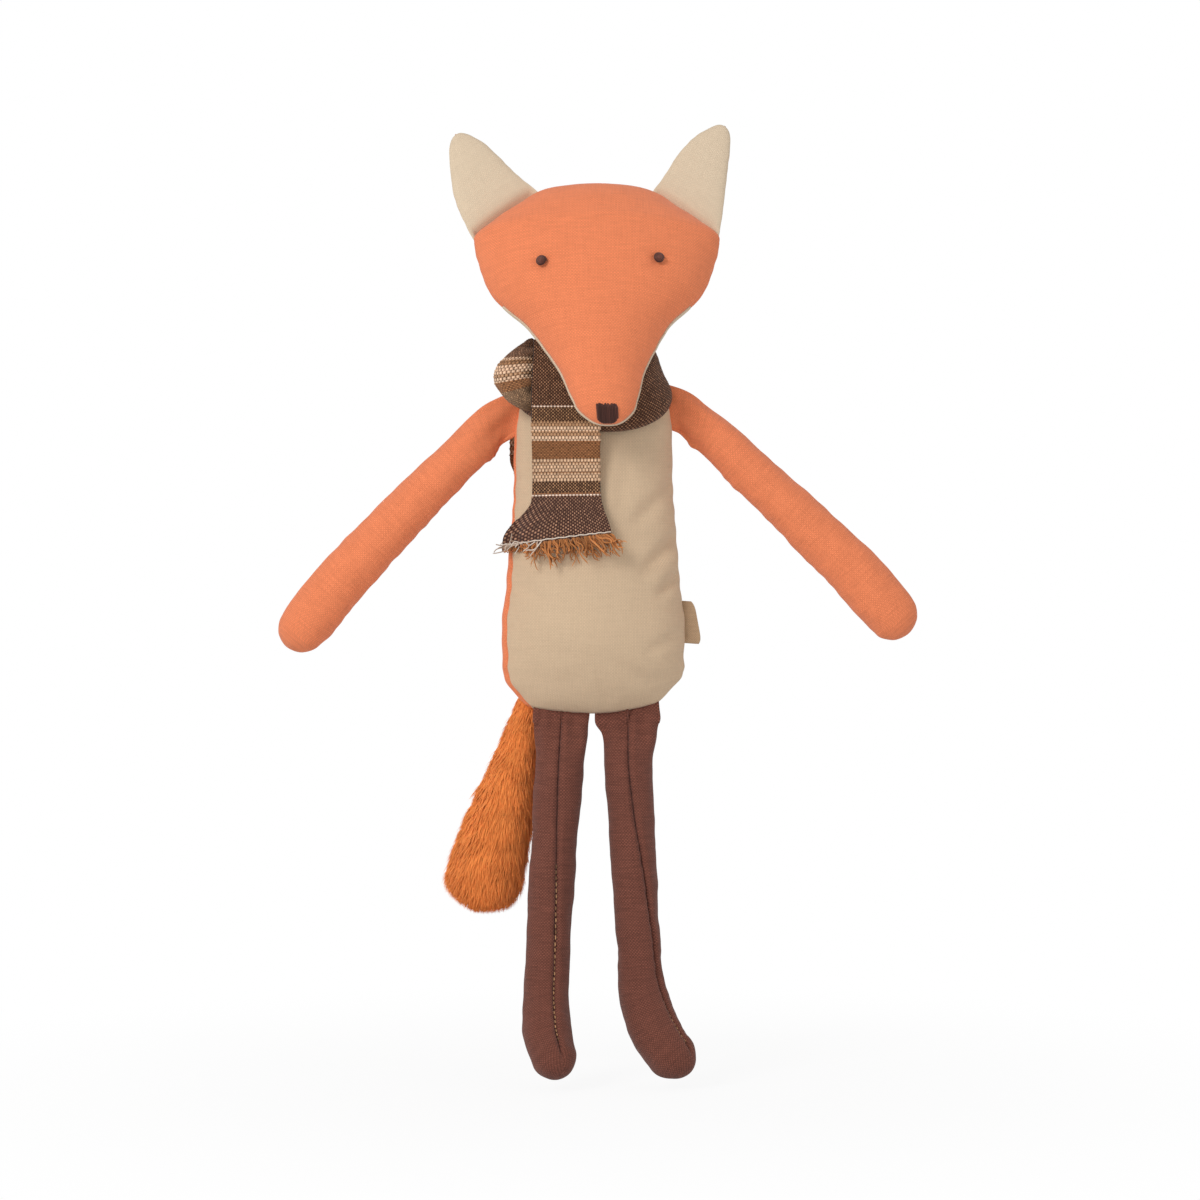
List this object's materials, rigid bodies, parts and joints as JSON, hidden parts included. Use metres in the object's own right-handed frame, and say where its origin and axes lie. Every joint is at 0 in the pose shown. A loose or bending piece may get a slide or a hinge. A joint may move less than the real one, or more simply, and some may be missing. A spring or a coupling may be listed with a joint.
{
  "type": "stuffed fox toy",
  "caption": "Stuffed linen fox with long jointed limbs, a fur tail, upright ears and a woven scarf with fringed ends.",
  "frame": {"origin": "middle of the trunk, where a hand holds the toy", "axes": "+Z from the legs to the head, +Y to the toy's back so the face looks along -Y, +X to the toy's left side"},
  "size_m": [0.2446, 0.0725, 0.358],
  "materials": {
    "orange_linen": "plain woven linen",
    "cream_linen": "plain woven linen",
    "brown_linen": "plain woven linen",
    "fibre_fill": "loose fibre filling",
    "fox_fur": "short pile fur",
    "dark_thread": "satin stitched thread",
    "woven_scarf": "coarse woven wool with stripes",
    "fringe_yarn": "loose wool yarn",
    "label_tape": "bare woven tape"
  },
  "bodies": {
    "trunk": {"body_front_panel": "cream_linen", "body_back_panel": "orange_linen", "body_stuffing": "fibre_fill", "scarf_neck_wrap": "woven_scarf", "scarf_knot": "woven_scarf", "scarf_front_upper": "woven_scarf", "side_label": "label_tape"},
    "head": {"head_face_panel": "orange_linen", "head_back_panel": "orange_linen", "head_chin_panel": "cream_linen", "head_stuffing": "fibre_fill", "ear_left_front_panel": "cream_linen", "ear_left_back_panel": "orange_linen", "ear_right_front_panel": "cream_linen", "ear_right_back_panel": "orange_linen", "eye_left": "dark_thread", "eye_right": "dark_thread", "nose": "dark_thread"},
    "arm_left": {"arm_left_sleeve": "orange_linen", "arm_left_stuffing": "fibre_fill"},
    "arm_right": {"arm_right_sleeve": "orange_linen", "arm_right_stuffing": "fibre_fill"},
    "leg_left": {"leg_left_outer_panel": "brown_linen", "leg_left_inner_panel": "brown_linen", "leg_left_stuffing": "fibre_fill"},
    "leg_right": {"leg_right_outer_panel": "brown_linen", "leg_right_inner_panel": "brown_linen", "leg_right_stuffing": "fibre_fill"},
    "tail": {"tail_fur_sleeve": "fox_fur", "tail_stuffing": "fibre_fill"},
    "scarf_front": {"scarf_front_end": "woven_scarf", "scarf_front_fringe": "fringe_yarn"},
    "scarf_back": {"scarf_back_end": "woven_scarf", "scarf_back_fringe": "fringe_yarn"}
  },
  "joints": [
    {"name": "head_nod", "type": "hinge", "parent": "trunk", "child": "head", "pos_m": [0, 0, 0.0885], "axis": [-1, 0, 0], "range_deg": [0, 35]},
    {"name": "arm_left_swing", "type": "hinge", "parent": "trunk", "child": "arm_left", "pos_m": [0.0308, 0, 0.053], "axis": [0, 0, -1], "range_deg": [-60, 80]},
    {"name": "arm_right_swing", "type": "hinge", "parent": "trunk", "child": "arm_right", "pos_m": [-0.0308, 0, 0.053], "axis": [0, 0, 1], "range_deg": [-60, 80]},
    {"name": "leg_left_swing", "type": "hinge", "parent": "trunk", "child": "leg_left", "pos_m": [0.012, 0, -0.061], "axis": [-1, 0, 0], "range_deg": [-15, 90]},
    {"name": "leg_right_swing", "type": "hinge", "parent": "trunk", "child": "leg_right", "pos_m": [-0.012, 0, -0.061], "axis": [-1, 0, 0], "range_deg": [-15, 90]},
    {"name": "tail_lift", "type": "hinge", "parent": "trunk", "child": "tail", "pos_m": [-0.022, 0.0092, -0.051], "axis": [1, 0, 0], "range_deg": [0, 75]},
    {"name": "scarf_front_lift", "type": "hinge", "parent": "trunk", "child": "scarf_front", "pos_m": [-0.0101, -0.0231, 0.04635], "axis": [-1, 0, 0], "range_deg": [0, 80]},
    {"name": "scarf_back_lift", "type": "hinge", "parent": "trunk", "child": "scarf_back", "pos_m": [-0.02, 0.02, 0.061], "axis": [1, 0, 0], "range_deg": [0, 80]}
  ]
}
